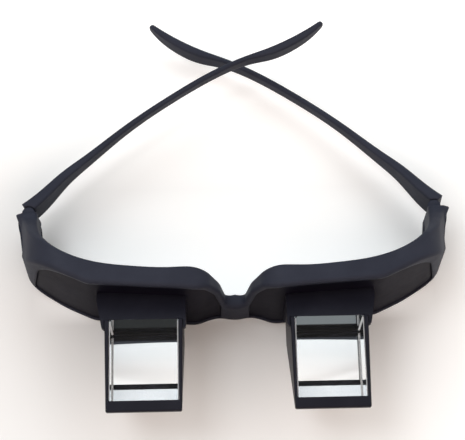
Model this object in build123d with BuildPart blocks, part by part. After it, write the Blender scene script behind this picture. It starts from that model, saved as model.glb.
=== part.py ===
from build123d import *
import os
import math

# Prism bed glasses, in millimetres.
# They lie upside down as on the table: the brow edge is at z = 0, the prism boxes point
# to -Y, the temples reach towards +Y, and +X is the side of the wearer's right eye.

os.makedirs("parts", exist_ok=True)

# Frame front
half_width = 82.0          # middle of the nose to the outside of a hinge block
frame_height = 40.0        # brow edge to cheek edge
nose_setback = 2.2         # bridge behind the foremost line of the front
hinge_face = 33.3          # back face of the hinge blocks, behind the datum
lean_angle = 3.7           # the front leans back as it rises
bridge_height = 14.0
bridge_half = 3.2
rim_width = 3.5            # rim seen from the front
rim_ledge = 1.5            # part of the rim that lies behind a panel
brow_drop = 0.3            # the rim is thinner by this at the brow
front_round = 1.5          # edges round the front surface
back_round = 1.0           # edges of the cheek flange and the side wall
bridge_round = 3.0
scoop_radius = 30.0        # shallow hollow in the outside of the side wall
scoop_inset = 4.9          # its deepest line inside the outside of a hinge block
scoop_y = 19.5
scoop_floor = 13.0
panel_inset = 0.8          # panel surface behind the rim surface
panel_thickness = 2.0
panel_gap = 0.1            # all round a panel in its rebate
overrun = 1.0              # how far a cutter runs past what it cuts

# Flat land that carries a socket
pupil_distance = 65.5
land_wrap = 4.0            # turn of the land away from straight ahead
land_y = -3.85             # rim surface at the pupil, at the brow edge
land_margin = 1.0          # land past the sides of the socket

# Prism
prism_width = 24.4
prism_leg = 29.2           # eye face and exit face
prism_flat = 1.3           # blunted acute edges
prism_bevel = 0.4          # ground bevels along both sides of the eye face and the exit face
eye_face_y = -11.6
glass_base = 3.3           # lowest edge of the glass above the table
prism_gap = 0.1            # between the glass and what holds it
mirror_thickness = 0.5
mirror_gap = 0.2           # between mirror and cover
cover_thickness = 1.5
cover_inset = 0.3          # cover surface inside the slant of the housing

# Prism housing
housing_root_wall = 1.5    # side walls at the socket
housing_tip_wall = 0.9     # side walls at the bezel
bezel_front = 3.8          # bezel ahead of the glass
bezel_rise = 0.8           # bezel above the exit face
foot_rise = 1.6            # bar under the glass, standing on the table
bezel_edge = 0.4

# Socket
ear_wall = 0.95
ear_reach = 3.4            # ears run along the housing
ear_low = 30.5             # their lower end
flank_y = -12.2            # below the ears the flanks of the block fall back past this
flank_z = 27.0
flank_end_y = -4.4         # to end here on the panel
flank_end_z = 4.0
ear_edge = 0.8
socket_flare = 2.0         # outer side spreads by this towards the panel
socket_drop = 4.1          # top falls by this towards the panel
seat_gap = 0.1             # housing between the ears
port_margin = 0.3          # glass past either side of the port
port_flare = 1.5           # the port widens by this on either side, from prism to eye
port_floor = 4.4           # at the prism
port_step_y = -5.5         # the floor drops to here, and more gently to the sill
port_step = 1.6
port_sill_y = 0.7
port_sill = 1.0
port_ceiling = 20.4
port_back_ceiling = 23.0
port_lip = 1.9             # bar between the port and the packing strip
sleeve_wall = 1.2
sleeve_gap = 0.1
packing_thickness = 1.0
packing_gap = 0.1

# Eyepiece trim, behind the panel
trim_width = 2.6
trim_thickness = 1.5
sleeve_stand = 0.8         # sleeve past the trim

# Hinges
hinge_inset = 6.8          # hinge axis inside the outside of its block
hinge_z = 14.0
hinge_lean = 5.0           # both hinge axes lean to -X at the top
end_gap = 0.4              # hinge axis to either end face
barrel_radius = 2.4
barrel_gap = 0.35
stack_height = 12.6        # all barrels of one hinge
tongue_height = 5.2        # middle barrel, on the temple
tongue_gap = 0.25
screw_radius = 0.8
screw_gap = 0.05
screw_end = 1.2            # closed end of the bore
screw_head_radius = 1.5
screw_head_height = 0.9
screw_slot = 0.4

# Temples
temple_length = 132.8
temple_bow = 12.0
temple_height = 13.0
temple_thickness = 4.4
temple_round = 0.6
tip_round = 1.6
left_rest = 50.5           # turn from open to the pose in which they lie
right_rest = 46.5

# Plan outlines: nose shares go from the bridge to the land, side shares from the land to the
# outside of the hinge block, back shares from the pupil line to the hinge face
nose_front_shares = ((0.0, 0.73), (0.355, 1.0), (0.651, 0.45))
side_front_shares = ((0.140, 0.039), (0.331, 0.117), (0.490, 0.190), (0.618, 0.251),
                     (0.745, 0.329), (0.818, 0.404), (0.860, 0.505), (0.892, 0.644),
                     (0.926, 0.853), (0.947, 1.0))
back_shares = ((0.0, 0.160), (0.098, 0.155), (0.171, 0.182), (0.293, 0.184), (0.451, 0.205),
               (0.573, 0.239), (0.671, 0.295), (0.756, 0.381), (0.811, 0.481),
               (0.848, 0.601), (0.872, 0.776), (0.885, 1.0))
# Upper edge of the side wall: share of the way to the hinge face, share of height, share rounded
wing_shares = ((0.42, 1.025, 0), (0.931, 0.555, 0.15), (1.12, 0.52, 0), (1.12, 1.025, 0))
# Corners seen from the front: share of half width, share of height, share of height rounded
brow_corner_shares = ((0.768, 0.0, 0.35), (1.0, 0.15, 0.125), (1.0, 0.462, 0.075),
                      (0.949, 0.545, 0.075))
cheek_corner_shares = ((0.866, 1.0, 0.41), (0.139, 1.0, 0.24), (0.068, 0.675, 0.35))
eye_corner_shares = ((0.805, 0.0, 0.25), (0.934, 0.1125, 0.1))

# Temple: shares of length, bow, thickness, and of height below and above the hinge
temple_shares = ((0.08, 0.25, 0.86, -0.43, 0.42), (0.146, 0.34, 0.73, -0.37, 0.30),
                 (0.22, 0.35, 0.61, -0.33, 0.21), (0.365, 0.34, 0.49, -0.29, 0.12),
                 (0.547, 0.16, 0.46, -0.31, 0.08), (0.686, -0.11, 0.46, -0.33, 0.07),
                 (0.78, -0.45, 0.50, -0.36, 0.12), (0.83, -0.72, 0.70, -0.35, 0.18),
                 (0.90, -1.0, 0.72, -0.22, 0.30), (0.96, -1.15, 0.56, 0.0, 0.43),
                 (1.0, -1.18, 0.36, 0.2, 0.475))
root_shares = (0.225, 1.0, -0.5, 0.5)

# Sizes that follow
pupil_x = pupil_distance / 2
lean_slope = math.tan(math.radians(lean_angle))
wrap_slope = math.tan(math.radians(land_wrap))
lean_direction = (0, math.sin(math.radians(lean_angle)), math.cos(math.radians(lean_angle)))
lean_length = frame_height / math.cos(math.radians(lean_angle))
frame_depth = hinge_face - land_y
rebate_depth = panel_inset + panel_thickness
exit_z = glass_base + prism_leg
port_width = prism_width - 2 * port_margin
slant_sum = exit_z + eye_face_y - prism_leg - prism_flat     # y + z on the mirror slant
glass_front_y = eye_face_y - prism_leg
housing_root_width = prism_width + 2 * (prism_gap + housing_root_wall)
housing_tip_width = prism_width + 2 * (prism_gap + housing_tip_wall)
housing_top_z = exit_z + bezel_rise
housing_front_y = glass_front_y - prism_gap - bezel_front
mirror_near = prism_gap
mirror_far = mirror_near + mirror_thickness
cover_near = mirror_far + mirror_gap
cover_far = cover_near + cover_thickness
housing_slant = cover_far + cover_inset
bay_width = housing_root_width + 2 * seat_gap
socket_inner_x = pupil_x - bay_width / 2 - ear_wall
socket_ear_x = pupil_x + bay_width / 2 + ear_wall
socket_outer_x = socket_ear_x + socket_flare
ear_front_y = eye_face_y - ear_reach
hinge_x = half_width - hinge_inset
hinge_y = hinge_face + end_gap
hinge_direction = (-math.sin(math.radians(hinge_lean)), 0, math.cos(math.radians(hinge_lean)))


def land_point(x, shift=0.0):
    """Point on the flat land at the brow edge, moved back by shift."""
    return (x, land_y + (x - pupil_x) * wrap_slope + shift)


def points_between(shares, start, end):
    """Points at the given shares of the way from start to end, across and along."""
    return [(start[0] + x * (end[0] - start[0]), start[1] + y * (end[1] - start[1]))
            for x, y in shares]


def area_behind(shift):
    """Plan area behind the front surface moved back by shift, one half."""
    start = land_point(socket_inner_x - land_margin, shift)
    end = land_point(socket_outer_x + land_margin, shift)
    nose = points_between(nose_front_shares, (0, start[1]), (start[0], start[1] + nose_setback))
    side = points_between(side_front_shares, end, (half_width, hinge_face + shift))
    along = (1, wrap_slope)
    far_y = hinge_face + frame_depth
    with BuildSketch(mode=Mode.PRIVATE) as area:
        with BuildLine():
            Spline(*nose, start, tangents=((1, 0), along))
            Line(start, end)
            Spline(end, *side, tangents=(along, (0, 1)))
            Polyline(side[-1], (side[-1][0], far_y), (0, far_y), nose[0])
        make_face()
    return area.sketch


def area_ahead():
    """Plan area ahead of the back edge of the rim, one half."""
    back = points_between(back_shares, (0, land_y), (half_width, hinge_face))
    with BuildSketch(mode=Mode.PRIVATE) as area:
        with BuildLine():
            Spline(*back)
            Polyline(back[-1], (half_width, hinge_face), (half_width, -frame_depth),
                     (0, -frame_depth), back[0])
        make_face()
    return area.sketch


def rounded_area(corners):
    """Area with the given corners, each rounded by its own radius, zero for a sharp one."""
    with BuildSketch(mode=Mode.PRIVATE) as area:
        with BuildLine():
            Polyline(*[(x, z) for x, z, radius in corners], close=True)
        make_face()
        for x, z, radius in corners:
            if radius:
                fillet(area.vertices().sort_by_distance((x, z, 0))[0], radius)
    return area.sketch


def corner_sizes(shares, width=half_width):
    return [(x * width, z * frame_height, r * frame_height) for x, z, r in shares]


def front_area():
    """One half of the frame seen from the front, nose gap left out."""
    outer = corner_sizes(brow_corner_shares + cheek_corner_shares)
    bridge = [(bridge_half, bridge_height, bridge_round), (0, bridge_height, 0), (0, 0, 0)]
    return rounded_area(outer + bridge)


def eye_area(inset):
    """What the rim goes round, seen from the front, drawn in by inset."""
    outer = corner_sizes(eye_corner_shares + cheek_corner_shares)
    outer[0] = (outer[0][0], -brow_drop, outer[0][2])
    nasal = [(bridge_half, bridge_height, 0), (bridge_half, -brow_drop, 0)]
    with BuildSketch(mode=Mode.PRIVATE) as area:
        add(rounded_area(outer + nasal))
        offset(amount=-inset)
    return area.sketch


def seen_from_front(area, mode):
    with BuildSketch(Plane.XZ.offset(-frame_depth)) as seen:
        add(area)
    extrude(seen.sketch, amount=2 * frame_depth, mode=mode)


def port_area(lift, spread):
    """Side view of the port, its floor lifted and its ceiling spread, from prism to eye."""
    with BuildSketch(mode=Mode.PRIVATE) as area:
        with BuildLine():
            Polyline((eye_face_y, port_floor + lift), (port_step_y, port_step + lift),
                     (port_sill_y, port_sill + lift), (-eye_face_y, port_sill + lift),
                     (-eye_face_y, port_back_ceiling + spread),
                     (eye_face_y, port_ceiling + spread), close=True)
        make_face()
    return area.sketch


def port_block(lift, spread):
    """Solid that fills the port of the right eye, spread at its sides and its ceiling."""
    near = port_width / 2 + spread
    far = near + port_flare
    with BuildPart(mode=Mode.PRIVATE) as block:
        with BuildSketch():
            with BuildLine():
                Polyline((pupil_x - near, eye_face_y), (pupil_x + near, eye_face_y),
                         (pupil_x + far, -eye_face_y), (pupil_x - far, -eye_face_y), close=True)
            make_face()
        extrude(amount=frame_height)
        with BuildSketch(Plane.YZ.offset(pupil_x)):
            add(port_area(lift, spread))
        extrude(amount=2 * far, both=True, mode=Mode.INTERSECT)
    return block.part


def cut_port(spread, lift=0.0):
    add(port_block(lift, spread), mode=Mode.SUBTRACT)


def hinge_plane(side, along=0.0):
    centre = Vector(side * hinge_x, hinge_y, hinge_z) + Vector(*hinge_direction) * along
    return Plane(origin=centre, x_dir=(0, 1, 0), z_dir=hinge_direction)


def barrel(side, low, high, radius, mode=Mode.ADD):
    """Round length on a hinge axis, from low to high along it."""
    with BuildSketch(hinge_plane(side, low)) as disc:
        Circle(radius)
    extrude(disc.sketch, amount=high - low, mode=mode)


def outer_edges(faces):
    """Edges that only one of the faces has, away from the middle of the frame."""
    edges = ShapeList(edge for face in faces for edge in face.edges())
    single = edges.filter_by(lambda edge: sum(edge.is_same(other) for other in edges) == 1)
    return single.filter_by(lambda edge: edge.center().X > bridge_half / 10)


def is_ahead(item):
    """Whether an edge or face lies ahead of the end face of the hinge block."""
    return item.center().Y < hinge_face - overrun


def make_half_front():
    """Right half of the solid front, before its openings."""
    with BuildPart() as half:
        with BuildSketch():
            add(area_behind(0))
            add(area_ahead(), mode=Mode.INTERSECT)
        extrude(amount=lean_length, dir=lean_direction)
        seen_from_front(front_area(), Mode.INTERSECT)
        with BuildSketch(Plane.YZ.offset(half_width / 2)):
            add(rounded_area(corner_sizes(wing_shares, hinge_face)))
        extrude(amount=half_width, mode=Mode.SUBTRACT)
        with BuildSketch(Plane.XY):
            with BuildLine():
                Polyline((0, hinge_face), (half_width, hinge_face), (half_width, frame_depth),
                         (0, frame_depth), close=True)
            make_face()
        extrude(amount=frame_height, mode=Mode.SUBTRACT)
        front = half.faces().filter_by(lambda face: face.normal_at().Y < -0.6)
        fillet(outer_edges(front).filter_by(is_ahead), front_round)
        back = half.faces().filter_by(lambda face: face.normal_at().Y > 0.5)
        back = back.filter_by(lambda face: face.area > frame_height * front_round)
        back = back.filter_by(is_ahead)
        upper = outer_edges(back).filter_by(lambda edge: edge.center().Z > bridge_height)
        fillet(upper, back_round)
        scoop_x = half_width - scoop_inset + scoop_radius
        with BuildSketch(Plane.XY.offset(scoop_floor)):
            with Locations((scoop_x, scoop_y)):
                Circle(scoop_radius)
        extrude(amount=frame_height, mode=Mode.SUBTRACT)
    return half.part


def make_panel_slab(front, back, inset):
    """Slab between two shifts of the front surface, inside the rim drawn in by inset."""
    with BuildPart() as slab:
        with BuildSketch():
            add(area_behind(front))
            add(area_behind(back), mode=Mode.SUBTRACT)
        extrude(amount=lean_length, dir=lean_direction)
        seen_from_front(eye_area(inset), Mode.INTERSECT)
    return slab.part


def make_frame_front():
    rebate = make_panel_slab(-overrun, rebate_depth, rim_width - rim_ledge)
    with BuildPart() as frame_front:
        add(make_half_front())
        add(rebate, mode=Mode.SUBTRACT)
        seen_from_front(eye_area(rim_width), Mode.SUBTRACT)
        cut_port(sleeve_wall + sleeve_gap)
        mirror(about=Plane.YZ)
        tongue_end = tongue_height / 2 + tongue_gap
        stack_end = stack_height / 2
        bore_end = stack_end - screw_end
        head_end = screw_head_height - stack_end
        for side in (-1, 1):
            barrel(side, -tongue_end, tongue_end, barrel_radius + barrel_gap, Mode.SUBTRACT)
            barrel(side, tongue_end, stack_end, barrel_radius)
            barrel(side, -stack_end, -tongue_end, barrel_radius)
            barrel(side, -stack_height, bore_end, screw_radius + screw_gap, Mode.SUBTRACT)
            barrel(side, -stack_height, head_end, screw_head_radius + screw_gap, Mode.SUBTRACT)
    return frame_front.part


def make_hinge_screw(side):
    stack_end = stack_height / 2
    with BuildPart() as hinge_screw:
        barrel(side, -stack_end, stack_end - screw_end - screw_gap, screw_radius)
        barrel(side, -stack_end, screw_head_height - stack_end, screw_head_radius)
        with BuildSketch(hinge_plane(side, -stack_end)):
            Rectangle(2 * screw_head_radius, screw_slot)
        extrude(amount=screw_head_height / 2, mode=Mode.SUBTRACT)
    return hinge_screw.part


def make_lens_panel():
    """Dark panel that closes the rim and is open at the port."""
    with BuildPart() as lens_panel:
        add(make_panel_slab(panel_inset, rebate_depth, rim_width - rim_ledge + panel_gap))
        cut_port(sleeve_wall + sleeve_gap, -port_floor)
    return lens_panel.part


def land_plane(shift):
    """Plane of the land, moved back by shift, seen from the front."""
    across = Vector(1, wrap_slope, 0)
    up = Vector(0, lean_slope, 1)
    return Plane(origin=(pupil_x, land_y + shift, 0), x_dir=across, z_dir=across.cross(up))


def side_block(points, width, x=pupil_x):
    """Solid with the given side view, width across the right prism."""
    with BuildSketch(Plane.YZ.offset(x), mode=Mode.PRIVATE) as side_view:
        with BuildLine():
            Polyline(*points, close=True)
        make_face()
    return extrude(side_view.sketch, amount=width / 2, both=True, mode=Mode.PRIVATE)


def box_points(front, back, low, high):
    return [(front, low), (back, low), (back, high), (front, high)]


def slant_points(near, far, low, front):
    """Side view of a plate along the mirror slant, from a height up to a front plane."""
    near_sum = slant_sum - near * math.sqrt(2)
    far_sum = slant_sum - far * math.sqrt(2)
    return [(near_sum - low, low), (front, near_sum - front),
            (front, far_sum - front), (far_sum - low, low)]


def make_socket():
    """Block on the panel that carries a prism housing between two ears."""
    bay_y = eye_face_y + prism_gap
    lip_z = port_ceiling + port_lip
    back_z = exit_z - socket_drop
    rim_y = land_point(socket_inner_x)[1] - seat_gap
    rim_z = rim_width - rim_ledge - brow_drop + seat_gap
    sleeve_end = rebate_depth + trim_thickness + sleeve_stand
    flanks = side_block([(flank_end_y, flank_end_z), (0, flank_end_z), (0, back_z),
                         (bay_y, exit_z), (ear_front_y, exit_z), (ear_front_y, ear_low),
                         (flank_y, flank_z)], pupil_distance)
    core = side_block([(rim_y, 0), (rim_y, rim_z), (0, rim_z), (0, back_z), (bay_y, exit_z),
                       (bay_y, 0)], housing_root_width)
    with BuildPart() as block:
        with BuildSketch():
            with BuildLine():
                Polyline((socket_inner_x, 0), (socket_outer_x, 0), (socket_outer_x, land_y),
                         (socket_ear_x, ear_front_y + ear_edge),
                         (socket_ear_x - ear_edge, ear_front_y),
                         (socket_inner_x + ear_edge, ear_front_y),
                         (socket_inner_x, ear_front_y + ear_edge), close=True)
            make_face()
        extrude(amount=exit_z)
        add(flanks.fuse(core), mode=Mode.INTERSECT)
        split(bisect_by=land_plane(panel_inset), keep=Keep.TOP)
    with BuildPart() as sleeve:
        add(port_block(sleeve_gap, sleeve_wall))
        split(bisect_by=land_plane(panel_inset), keep=Keep.BOTTOM)
        split(bisect_by=land_plane(sleeve_end), keep=Keep.TOP)
    with BuildPart() as socket:
        add(block.part)
        add(sleeve.part)
        cut_port(0)
        add(side_block(box_points(-frame_depth, bay_y, -overrun, exit_z + overrun),
                       bay_width), mode=Mode.SUBTRACT)
        add(side_block(box_points(-frame_depth, bay_y + packing_thickness, lip_z,
                                  exit_z - packing_thickness), prism_width),
            mode=Mode.SUBTRACT)
    return socket.part


def make_packing_strip():
    """Pale foam that presses on the eye face beside the port."""
    front = eye_face_y + prism_gap
    back = front + packing_thickness - packing_gap
    low = port_ceiling + port_lip + packing_gap
    high = exit_z - packing_thickness - packing_gap
    with BuildPart() as packing_strip:
        add(side_block(box_points(front, back, low, high), prism_width - 2 * packing_gap))
    return packing_strip.part


def make_eyepiece_trim():
    """Surround of the sleeve on the eye side of the panel."""
    half = port_width / 2 + port_flare + sleeve_wall + sleeve_gap + trim_width
    low = rim_width - brow_drop + panel_gap
    high = port_back_ceiling + sleeve_wall + trim_width
    with BuildPart() as eyepiece_trim:
        with BuildSketch():
            add(area_behind(rebate_depth))
            add(area_behind(rebate_depth + trim_thickness), mode=Mode.SUBTRACT)
        extrude(amount=lean_length, dir=lean_direction)
        seen_from_front(rounded_area([(pupil_x - half, low, 0), (pupil_x + half, low, 0),
                                      (pupil_x + half, high, trim_width),
                                      (pupil_x - half, high, trim_width)]), Mode.INTERSECT)
        cut_port(sleeve_wall + sleeve_gap, -port_floor)
    return eyepiece_trim.part


def make_prism_housing():
    """Side walls, front bar and foot bar round a prism, open on the slant."""
    root_y = eye_face_y
    pocket_front = glass_front_y - prism_gap
    outer_sum = slant_sum - housing_slant * math.sqrt(2)
    beyond_sum = outer_sum - overrun
    with BuildPart() as prism_housing:
        with BuildSketch():
            with BuildLine():
                Polyline((pupil_x - housing_root_width / 2, root_y),
                         (pupil_x + housing_root_width / 2, root_y),
                         (pupil_x + housing_tip_width / 2, housing_front_y),
                         (pupil_x - housing_tip_width / 2, housing_front_y), close=True)
            make_face()
        extrude(amount=housing_top_z)
        add(side_block([(root_y, 0), (outer_sum, 0), (housing_front_y, outer_sum - housing_front_y),
                        (housing_front_y, housing_top_z), (root_y, housing_top_z)],
                       housing_root_width), mode=Mode.INTERSECT)
        chamfer(prism_housing.faces().sort_by(Axis.Z)[-1].edges(), bezel_edge)
        chamfer(prism_housing.edges().filter_by(Axis.Z).group_by(Axis.Y)[0], bezel_edge)
        add(side_block([(root_y + overrun, foot_rise), (root_y + overrun, frame_height),
                        (pocket_front, frame_height), (pocket_front, beyond_sum - pocket_front),
                        (beyond_sum - foot_rise, foot_rise)], prism_width + 2 * prism_gap),
            mode=Mode.SUBTRACT)
    return prism_housing.part


def make_prism():
    """Right-angle glass prism, eye face to the port, exit face up, slant mirrored."""
    with BuildPart() as prism:
        add(side_block([(eye_face_y, exit_z), (eye_face_y, glass_base),
                        (slant_sum - glass_base, glass_base),
                        (glass_front_y, slant_sum - glass_front_y),
                        (glass_front_y, exit_z)], prism_width))
        for axis in (Axis.Y, Axis.Z):
            face = prism.faces().sort_by(axis)[-1]
            chamfer(face.edges().filter_by(Axis.X, reverse=True), prism_bevel)
    return prism.part


def make_mirror_plate():
    with BuildPart() as mirror_plate:
        add(side_block(slant_points(mirror_near, mirror_far, glass_base, glass_front_y),
                       prism_width))
    return mirror_plate.part


def make_housing_cover():
    with BuildPart() as housing_cover:
        add(side_block(slant_points(cover_near, cover_far, foot_rise + prism_gap, glass_front_y),
                       prism_width))
    return housing_cover.part


def temple_row(shares):
    """Place along the temple, middle, half thickness, low and high edge of its blade."""
    along, bow, thick, low, high = shares
    return (along * temple_length, bow * temple_bow, thick * temple_thickness / 2,
            low * temple_height, high * temple_height)


def make_temple(side, rest_angle):
    """Temple shaped in its open pose, then turned to the pose in which it lies."""
    rows = [temple_row((end_gap / temple_length,) + root_shares)]
    rows += [temple_row(shares) for shares in temple_shares]
    outer = [(side * (hinge_x + mid + half), hinge_y + y) for y, mid, half, low, high in rows]
    inner = [(side * (hinge_x + mid - half), hinge_y + y) for y, mid, half, low, high in rows]
    lower = [(hinge_y + y, hinge_z + low) for y, mid, half, low, high in rows]
    upper = [(hinge_y + y, hinge_z + high) for y, mid, half, low, high in rows]
    tongue_end = tongue_height / 2
    with BuildPart() as temple:
        with BuildSketch():
            with BuildLine():
                Spline(*outer)
                Spline(*inner)
                Line(outer[0], inner[0])
                Line(outer[-1], inner[-1])
            make_face()
        extrude(amount=frame_height)
        with BuildSketch(Plane.YZ.offset(side * hinge_x)):
            with BuildLine():
                Spline(*lower)
                Spline(*upper)
                Line(lower[0], upper[0])
                Line(lower[-1], upper[-1])
            make_face()
        extrude(amount=half_width, both=True, mode=Mode.INTERSECT)
        tip = temple.faces().sort_by(Axis.Y)[-1]
        fillet(tip.edges().filter_by(Axis.X), tip_round)
        blade = temple.edges().filter_by(lambda edge: edge.length > temple_length / 2)
        fillet(blade, temple_round)
        barrel(side, tongue_end, stack_height, barrel_radius + barrel_gap, Mode.SUBTRACT)
        barrel(side, -stack_height, -tongue_end, barrel_radius + barrel_gap, Mode.SUBTRACT)
        barrel(side, -tongue_end, tongue_end, barrel_radius)
        barrel(side, -stack_height, stack_height, screw_radius + screw_gap, Mode.SUBTRACT)
    axis = Axis(origin=(side * hinge_x, hinge_y, hinge_z), direction=hinge_direction)
    return temple.part.rotate(axis, side * rest_angle)


def save(name, piece):
    piece.label = name
    export_step(piece, f"parts/{name}.step")


PAIRS = {"lens_panel": make_lens_panel, "prism_socket": make_socket,
         "packing_strip": make_packing_strip, "eyepiece_trim": make_eyepiece_trim,
         "prism_housing": make_prism_housing, "prism": make_prism,
         "mirror_plate": make_mirror_plate, "housing_cover": make_housing_cover}

save("frame_front", make_frame_front())
for name, make in PAIRS.items():
    right = make()
    save(f"right_{name}", right)
    save(f"left_{name}", mirror(right, about=Plane.YZ))
for word, side, rest_angle in (("left", -1, left_rest), ("right", 1, right_rest)):
    save(f"{word}_hinge_screw", make_hinge_screw(side))
    save(f"{word}_temple", make_temple(side, rest_angle))
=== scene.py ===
import math

import bpy
from mathutils import Matrix, Vector

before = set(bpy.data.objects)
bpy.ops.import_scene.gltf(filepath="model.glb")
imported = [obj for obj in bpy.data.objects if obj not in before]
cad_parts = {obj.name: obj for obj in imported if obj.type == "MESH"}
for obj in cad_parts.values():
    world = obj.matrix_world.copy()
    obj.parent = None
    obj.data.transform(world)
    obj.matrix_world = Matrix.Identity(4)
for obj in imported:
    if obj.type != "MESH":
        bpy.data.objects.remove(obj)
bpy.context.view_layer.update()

MM = 0.001

# Camera, fitted to the photograph
CAMERA_PLACE = (-9.6 * MM, -161.7 * MM, 542.9 * MM)
CAMERA_TURN = math.radians(2.78)       # to the right of straight ahead
CAMERA_TILT = math.radians(69.88)      # below the horizon
CAMERA_ROLL = math.radians(1.53)
FOCAL_PIXELS = 1506.0
PHOTO_WIDTH = 465
SENSOR_WIDTH = 36.0

# Colours, linear
WHITE = (1, 1, 1, 1)
CHARCOAL = (0.0225, 0.0250, 0.0385, 1)
CHARCOAL_WORN = (0.0300, 0.0335, 0.0500, 1)
PANEL_BLACK = (0.0062, 0.0058, 0.0115, 1)
PANEL_GREY = (0.0115, 0.0108, 0.0190, 1)
HOUSING_BLACK = (0.0100, 0.0100, 0.0160, 1)
HOUSING_GREY = (0.0150, 0.0150, 0.0225, 1)
CLEAR_GLASS = (0.985, 0.995, 1.0, 1)
GROUND_GLASS = (0.86, 0.88, 0.90, 1)
FOAM_PALE = (0.93, 0.96, 0.98, 1)
FOAM_DEEP = (0.80, 0.85, 0.90, 1)
# Colour of the glow painted on the foam, which is no lamp
FOAM_PAINTED_GLOW = (0.85, 0.93, 1.0, 1)
STEEL = (0.56, 0.56, 0.58, 1)
STEEL_DARK = (0.36, 0.36, 0.38, 1)
SILVER = (0.97, 0.98, 0.98, 1)
# Table colour, darker at the left: painted shade
FLOOR_LEFT_SHADED = (0.83, 0.83, 0.83, 1)
FLOOR_RIGHT = (0.97, 0.97, 0.97, 1)

# Middle part of the values that a noise takes
NOISE_SPAN = (0.3, 0.7)

# Rubbed edges of the plastics
EDGE_SAMPLES = 6
EDGE_AGREEMENT = (0.97, 0.80)          # of the true and the rounded normal, from flat to edge
EDGE_WEAR = 0.2
EDGE_BRIGHTENING = 1.9

# Glass: its bevels are the faces turned 45 degrees sideways
GLASS_IOR = 1.517
WIPE_SPAN = (0.55, 0.85)
WIPE_ROUGHNESS = 0.02
BEVEL_FACING = math.sqrt(0.5)
BEVEL_TOLERANCE = 0.1

# Table
FLOOR_SIZE = 6.0
FLOOR_PAINTED_SHADE_SPAN = (-85 * MM, 85 * MM)

# Painted light on the table that stands for overexposure, as places along Y or away from the middle
# and levels there
PAINTED_FLARE_BEHIND = ((-4 * MM, 0.0), (6 * MM, 0.36), (30 * MM, 0.13), (50 * MM, 0.03))
PAINTED_FLARE_SIDEWAYS = ((60 * MM, 1.0), (76 * MM, 0.0))
PAINTED_FLARE_BACKGROUND = ((50 * MM, 0.0), (120 * MM, 0.3))

# Sky, in parts of the unit sphere: X to the right, Y behind, Z up
SKY_FRONT = (1.0, 0.83, 0.73, 1)
SKY_BACK = (0.92, 1.0, 1.03, 1)
SKY_TURN = (-0.35, 0.35)               # Y, from the front tint to the back tint
SKY_RISE = (0.35, 0.6)                 # Z, from the strength at the horizon to the full one
SKY_FALL = (0.80, 0.92)                # Z, from the full strength to the one overhead
SKY_STRENGTH = 2.0
OVERHEAD_STRENGTH = 0.14
HORIZON_TURN = (-0.02, 0.06)           # X, from the left horizon to the right one
HORIZON_STRENGTHS = (0.025, 0.22)

# Window light, high at the left
WINDOW_COLOUR = (0.95, 0.98, 1.0)
WINDOW_PLACE = (-0.50, 0.12, 1.3)
WINDOW_SIZE = (0.5, 0.5)
WINDOW_WATTS = 3.7


def new_material(name):
    """Empty node material and its output."""
    material = bpy.data.materials.new(name)
    material.use_nodes = True
    material.node_tree.nodes.clear()
    output = add_node(material, "ShaderNodeOutputMaterial")
    return material, output


def add_node(material, kind, **inputs):
    """Node of a kind with its inputs set, spaces in their names written as underscores."""
    made = material.node_tree.nodes.new(kind)
    for name, value in inputs.items():
        made.inputs[name.replace("_", " ")].default_value = value
    return made


def join(material, source, output, target, target_input):
    """Link from an output to an input, each given by name or number."""
    material.node_tree.links.new(source.outputs[output], target.inputs[target_input])


def noise(material, scale, detail=4.0, roughness=0.6, stretch=(1, 1, 1)):
    """Noise in the object's own coordinates."""
    place = add_node(material, "ShaderNodeTexCoord")
    mapping = add_node(material, "ShaderNodeMapping", Scale=stretch)
    texture = add_node(material, "ShaderNodeTexNoise", Scale=scale, Detail=detail, Roughness=roughness)
    join(material, place, "Object", mapping, "Vector")
    join(material, mapping, "Vector", texture, "Vector")
    return texture


def spread(material, source, output, span, values=(0.0, 1.0)):
    """Values that follow a source across a span of it."""
    made = add_node(material, "ShaderNodeMapRange", From_Min=span[0], From_Max=span[1])
    made.inputs["To Min"].default_value = values[0]
    made.inputs["To Max"].default_value = values[1]
    join(material, source, output, made, "Value")
    return made


def ramp(material, source, output, low, high, start=0.35, end=0.65):
    """Two colours between two values of a source."""
    made = add_node(material, "ShaderNodeValToRGB")
    made.color_ramp.elements[0].position = start
    made.color_ramp.elements[1].position = end
    made.color_ramp.elements[0].color = low
    made.color_ramp.elements[1].color = high
    join(material, source, output, made, "Fac")
    return made


def grey(level):
    return level, level, level, 1


def levels(material, source, output, points):
    """Grey levels that follow a source through points of place and level."""
    first_place, first_level = points[0]
    last_place, last_level = points[-1]
    share = spread(material, source, output, (first_place, last_place))
    curve = ramp(material, share, "Result", grey(first_level), grey(last_level), 0.0, 1.0)
    for place, level in points[1:-1]:
        stop = curve.color_ramp.elements.new((place - first_place) / (last_place - first_place))
        stop.color = grey(level)
    return curve


def size_of(material, source, output):
    """Value of a source without its sign."""
    made = add_node(material, "ShaderNodeMath")
    made.operation = "ABSOLUTE"
    join(material, source, output, made, 0)
    return made


def combine(material, operation, first, first_output, second, second_output):
    """Math node of two outputs."""
    made = add_node(material, "ShaderNodeMath")
    made.operation = operation
    join(material, first, first_output, made, 0)
    join(material, second, second_output, made, 1)
    return made


def choose(material, choice, choice_output, first, first_output, second, second_output):
    """The first shader where the choice is 0 and the second where it is 1."""
    made = add_node(material, "ShaderNodeMixShader")
    join(material, choice, choice_output, made, "Fac")
    join(material, first, first_output, made, 1)
    join(material, second, second_output, made, 2)
    return made


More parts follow.
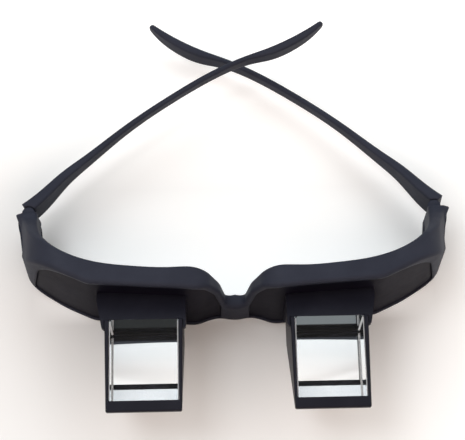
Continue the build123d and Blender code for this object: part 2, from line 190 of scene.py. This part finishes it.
def rubbed_edges(material, radius):
    """Normal rounded at the edges, and the wear there."""
    rounded = add_node(material, "ShaderNodeBevel", Radius=radius)
    rounded.samples = EDGE_SAMPLES
    geometry = add_node(material, "ShaderNodeNewGeometry")
    agreement = add_node(material, "ShaderNodeVectorMath")
    agreement.operation = "DOT_PRODUCT"
    join(material, rounded, "Normal", agreement, 0)
    join(material, geometry, "Normal", agreement, 1)
    wear = spread(material, agreement, "Value", EDGE_AGREEMENT, (0.0, EDGE_WEAR))
    return rounded, wear


def plastic(name, base, worn, shine, roughness, grain_scale, grain_height, edge_radius):
    """Moulded plastic with a fine grain, faint handling marks and paler rubbed edges."""
    material, output = new_material(name)
    shader = add_node(material, "ShaderNodeBsdfPrincipled", IOR=1.46, Specular_IOR_Level=shine)
    rounded, wear = rubbed_edges(material, edge_radius)
    cloudy = noise(material, scale=60.0)
    colour = ramp(material, cloudy, "Fac", base, worn, start=0.42, end=0.80)
    rubbed = add_node(material, "ShaderNodeMix")
    rubbed.data_type = "RGBA"
    # The colour inputs and output share their names with others, so they are taken by number
    rubbed.inputs[7].default_value = tuple(channel * EDGE_BRIGHTENING for channel in worn[:3]) + (1,)
    join(material, wear, "Result", rubbed, "Factor")
    join(material, colour, "Color", rubbed, 6)
    join(material, rubbed, 2, shader, "Base Color")
    streaks = noise(material, scale=240.0, detail=6.0, roughness=0.7, stretch=(1, 0.25, 1))
    rough = spread(material, streaks, "Fac", NOISE_SPAN, roughness)
    join(material, rough, "Result", shader, "Roughness")
    grain = noise(material, scale=grain_scale, detail=3.0, roughness=0.7)
    bump = add_node(material, "ShaderNodeBump", Strength=0.35, Distance=grain_height)
    join(material, grain, "Fac", bump, "Height")
    join(material, rounded, "Normal", bump, "Normal")
    join(material, bump, "Normal", shader, "Normal")
    join(material, shader, "BSDF", output, "Surface")
    return material


def glass():
    """Polished optical glass with faint wipe marks and ground bevels, clear to shadow rays."""
    material, output = new_material("prism_glass")
    polished = add_node(material, "ShaderNodeBsdfPrincipled", IOR=GLASS_IOR, Transmission_Weight=1.0)
    polished.inputs["Base Color"].default_value = CLEAR_GLASS
    marks = noise(material, scale=90.0, detail=5.0, roughness=0.65, stretch=(1, 0.3, 1))
    wiped = spread(material, marks, "Fac", WIPE_SPAN, (0.0, WIPE_ROUGHNESS))
    join(material, wiped, "Result", polished, "Roughness")
    ground = add_node(material, "ShaderNodeBsdfDiffuse", Color=GROUND_GLASS, Roughness=0.6)
    geometry = add_node(material, "ShaderNodeNewGeometry")
    split = add_node(material, "ShaderNodeSeparateXYZ")
    join(material, geometry, "True Normal", split, "Vector")
    sideways = size_of(material, split, "X")
    slanting = add_node(material, "ShaderNodeMath")
    slanting.operation = "COMPARE"
    slanting.inputs[1].default_value = BEVEL_FACING
    slanting.inputs[2].default_value = BEVEL_TOLERANCE
    join(material, sideways, "Value", slanting, 0)
    bevelled = choose(material, slanting, "Value", polished, "BSDF", ground, "BSDF")
    clear = add_node(material, "ShaderNodeBsdfTransparent")
    rays = add_node(material, "ShaderNodeLightPath")
    shadowless = choose(material, rays, "Is Shadow Ray", bevelled, "Shader", clear, "BSDF")
    join(material, shadowless, "Shader", output, "Surface")
    return material


def metal(name, bright, dark, roughness, stretch):
    """Metal with fine marks left by its making."""
    material, output = new_material(name)
    shader = add_node(material, "ShaderNodeBsdfPrincipled", Metallic=1.0)
    marks = noise(material, scale=900.0, detail=5.0, roughness=0.7, stretch=stretch)
    colour = ramp(material, marks, "Fac", dark, bright)
    join(material, colour, "Color", shader, "Base Color")
    rough = spread(material, marks, "Fac", NOISE_SPAN, roughness)
    join(material, rough, "Result", shader, "Roughness")
    bump = add_node(material, "ShaderNodeBump", Strength=0.15, Distance=0.02 * MM)
    join(material, marks, "Fac", bump, "Height")
    join(material, bump, "Normal", shader, "Normal")
    join(material, shader, "BSDF", output, "Surface")
    return material


def foam():
    """Pale closed-cell foam, with a painted glow: it gives off light of its own to look brighter."""
    material, output = new_material("pale_foam")
    # Painted light: the foam glows though it is no lamp
    shader = add_node(material, "ShaderNodeBsdfPrincipled", Roughness=0.85, Emission_Strength=0.45)
    shader.inputs["Emission Color"].default_value = FOAM_PAINTED_GLOW
    place = add_node(material, "ShaderNodeTexCoord")
    cells = add_node(material, "ShaderNodeTexVoronoi", Scale=1400.0)
    join(material, place, "Object", cells, "Vector")
    colour = ramp(material, cells, "Distance", FOAM_DEEP, FOAM_PALE, start=0.0, end=0.45)
    join(material, colour, "Color", shader, "Base Color")
    bump = add_node(material, "ShaderNodeBump", Strength=0.4, Distance=0.1 * MM)
    join(material, cells, "Distance", bump, "Height")
    join(material, bump, "Normal", shader, "Normal")
    join(material, shader, "BSDF", output, "Surface")
    return material


def floor_material():
    """Pale table top with painted shade that darkens it towards the left, and painted light behind the
    glasses that shows directly and through glass and gloss.
    """
    material, output = new_material("table_top")
    shader = add_node(material, "ShaderNodeBsdfPrincipled", Roughness=0.7)
    place = add_node(material, "ShaderNodeTexCoord")
    split = add_node(material, "ShaderNodeSeparateXYZ")
    join(material, place, "Object", split, "Vector")
    # Painted shade: the table's colour darkens towards the left
    across = spread(material, split, "X", FLOOR_PAINTED_SHADE_SPAN)
    colour = ramp(material, across, "Result", FLOOR_LEFT_SHADED, FLOOR_RIGHT, 0.0, 1.0)
    join(material, colour, "Color", shader, "Base Color")
    # Painted light: a brighter patch just behind and under the glasses, and a brighter table further
    # back
    behind = levels(material, split, "Y", PAINTED_FLARE_BEHIND)
    aside = size_of(material, split, "X")
    sideways = levels(material, aside, "Value", PAINTED_FLARE_SIDEWAYS)
    close = combine(material, "MULTIPLY", behind, "Color", sideways, "Color")
    background = levels(material, split, "Y", PAINTED_FLARE_BACKGROUND)
    painted_flare = combine(material, "ADD", close, "Value", background, "Color")
    # The painted light shows to the eye, directly or by way of glass and gloss, and doesn't light the
    # rest
    rays = add_node(material, "ShaderNodeLightPath")
    mirrored = combine(material, "MAXIMUM", rays, "Is Transmission Ray", rays, "Is Glossy Ray")
    seen = combine(material, "MAXIMUM", rays, "Is Camera Ray", mirrored, "Value")
    strength = combine(material, "MULTIPLY", painted_flare, "Value", seen, "Value")
    glow = add_node(material, "ShaderNodeEmission")
    join(material, strength, "Value", glow, "Strength")
    total = add_node(material, "ShaderNodeAddShader")
    join(material, shader, "BSDF", total, 0)
    join(material, glow, "Emission", total, 1)
    join(material, total, "Shader", output, "Surface")
    return material


def paint(material, *nodes):
    """One material on each of the named nodes."""
    for node in nodes:
        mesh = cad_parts[node].data
        mesh.materials.clear()
        mesh.materials.append(material)


def both(name):
    """Names of the left and the right node."""
    return f"left_{name}", f"right_{name}"


def paint_pieces():
    charcoal = plastic(
        "soft_touch_charcoal", CHARCOAL, CHARCOAL_WORN, shine=0.12, roughness=(0.50, 0.60),
        grain_scale=5200.0, grain_height=0.03 * MM, edge_radius=1.6 * MM,
    )
    panel = plastic(
        "panel_black", PANEL_BLACK, PANEL_GREY, shine=0.06, roughness=(0.48, 0.54),
        grain_scale=7000.0, grain_height=0.02 * MM, edge_radius=0.3 * MM,
    )
    housing = plastic(
        "housing_black", HOUSING_BLACK, HOUSING_GREY, shine=0.12, roughness=(0.40, 0.46),
        grain_scale=6000.0, grain_height=0.03 * MM, edge_radius=0.4 * MM,
    )
    silver = metal("silvered_back", SILVER, SILVER, roughness=(0.02, 0.05), stretch=(1, 1, 1))
    steel = metal("screw_steel", STEEL, STEEL_DARK, roughness=(0.25, 0.4), stretch=(1, 1, 0.1))
    paint(charcoal, "frame_front", *both("temple"))
    paint(panel, *both("lens_panel"))
    paint(housing, *both("prism_socket"), *both("prism_housing"))
    paint(housing, *both("eyepiece_trim"), *both("housing_cover"))
    paint(glass(), *both("prism"))
    paint(silver, *both("mirror_plate"))
    paint(steel, *both("hinge_screw"))
    paint(foam(), *both("packing_strip"))


def make_floor():
    bpy.ops.mesh.primitive_plane_add(size=FLOOR_SIZE)
    floor = bpy.context.object
    floor.name = "table_top"
    floor.data.materials.append(floor_material())


def make_sky():
    """Soft room light, warm in front, cool behind, dim at the horizon and overhead, on white."""
    world = bpy.data.worlds.new("studio")
    world.use_nodes = True
    sky = world.node_tree.nodes["Background"]
    place = add_node(world, "ShaderNodeTexCoord")
    split = add_node(world, "ShaderNodeSeparateXYZ")
    join(world, place, "Generated", split, "Vector")
    turn = spread(world, split, "Y", SKY_TURN)
    tint = ramp(world, turn, "Result", SKY_FRONT, SKY_BACK, 0.0, 1.0)
    horizon = spread(world, split, "X", HORIZON_TURN, HORIZON_STRENGTHS)
    rise = spread(world, split, "Z", SKY_RISE, (HORIZON_STRENGTHS[0], SKY_STRENGTH))
    join(world, horizon, "Result", rise, "To Min")
    fall = spread(world, split, "Z", SKY_FALL, (SKY_STRENGTH, OVERHEAD_STRENGTH))
    strength = combine(world, "MINIMUM", rise, "Result", fall, "Result")
    join(world, tint, "Color", sky, "Color")
    join(world, strength, "Value", sky, "Strength")
    rays = add_node(world, "ShaderNodeLightPath")
    backdrop = add_node(world, "ShaderNodeBackground", Color=WHITE)
    shown = choose(world, rays, "Is Camera Ray", sky, "Background", backdrop, "Background")
    join(world, shown, "Shader", world.node_tree.nodes["World Output"], "Surface")
    bpy.context.scene.world = world


def make_window():
    """Soft window light that points at the middle of the glasses."""
    data = bpy.data.lights.new("window", "AREA")
    data.shape = "RECTANGLE"
    data.size, data.size_y = WINDOW_SIZE
    data.energy = WINDOW_WATTS
    data.color = WINDOW_COLOUR
    light = bpy.data.objects.new("window", data)
    bpy.context.collection.objects.link(light)
    light.location = WINDOW_PLACE
    light.rotation_mode = "QUATERNION"
    light.rotation_quaternion = Vector(WINDOW_PLACE).to_track_quat("Z", "Y")


def make_camera():
    data = bpy.data.cameras.new("camera")
    data.sensor_width = SENSOR_WIDTH
    data.lens = FOCAL_PIXELS / PHOTO_WIDTH * SENSOR_WIDTH
    camera = bpy.data.objects.new("camera", data)
    bpy.context.collection.objects.link(camera)
    camera.location = CAMERA_PLACE
    turn = Matrix.Rotation(-CAMERA_TURN, 3, "Z")
    tilt = Matrix.Rotation(math.pi / 2 - CAMERA_TILT, 3, "X")
    roll = Matrix.Rotation(CAMERA_ROLL, 3, "Z")
    camera.rotation_euler = (turn @ tilt @ roll).to_euler()
    bpy.context.scene.camera = camera


paint_pieces()
make_floor()
make_sky()
make_window()
make_camera()
bpy.context.scene.view_settings.view_transform = "Standard"
